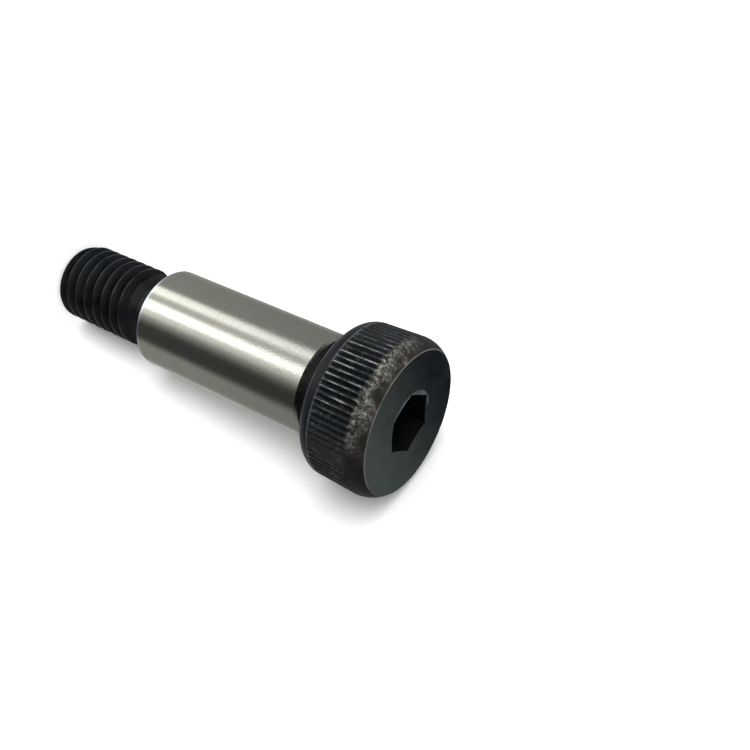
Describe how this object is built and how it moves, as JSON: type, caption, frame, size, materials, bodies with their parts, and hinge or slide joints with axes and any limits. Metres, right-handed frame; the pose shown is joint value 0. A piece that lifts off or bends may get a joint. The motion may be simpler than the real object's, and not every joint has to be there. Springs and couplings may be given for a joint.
{
  "type": "socket head shoulder bolt",
  "caption": "Socket head shoulder bolt with a ground cylindrical shoulder, a reduced threaded end and a straight-knurled head.",
  "frame": {"origin": "centre of the threaded end's face, on the surface that the bolt stands on", "axes": "+Z along the bolt's axis, from the threaded end to the head; two flats of the socket face +X and -X"},
  "size_m": [0.0152, 0.0152, 0.0413],
  "materials": {
    "steel": "ground bright steel on the shoulder; black oxide on the head, neck and thread"
  },
  "bodies": {
    "root": {"shoulder_bolt": "steel"}
  },
  "joints": []
}
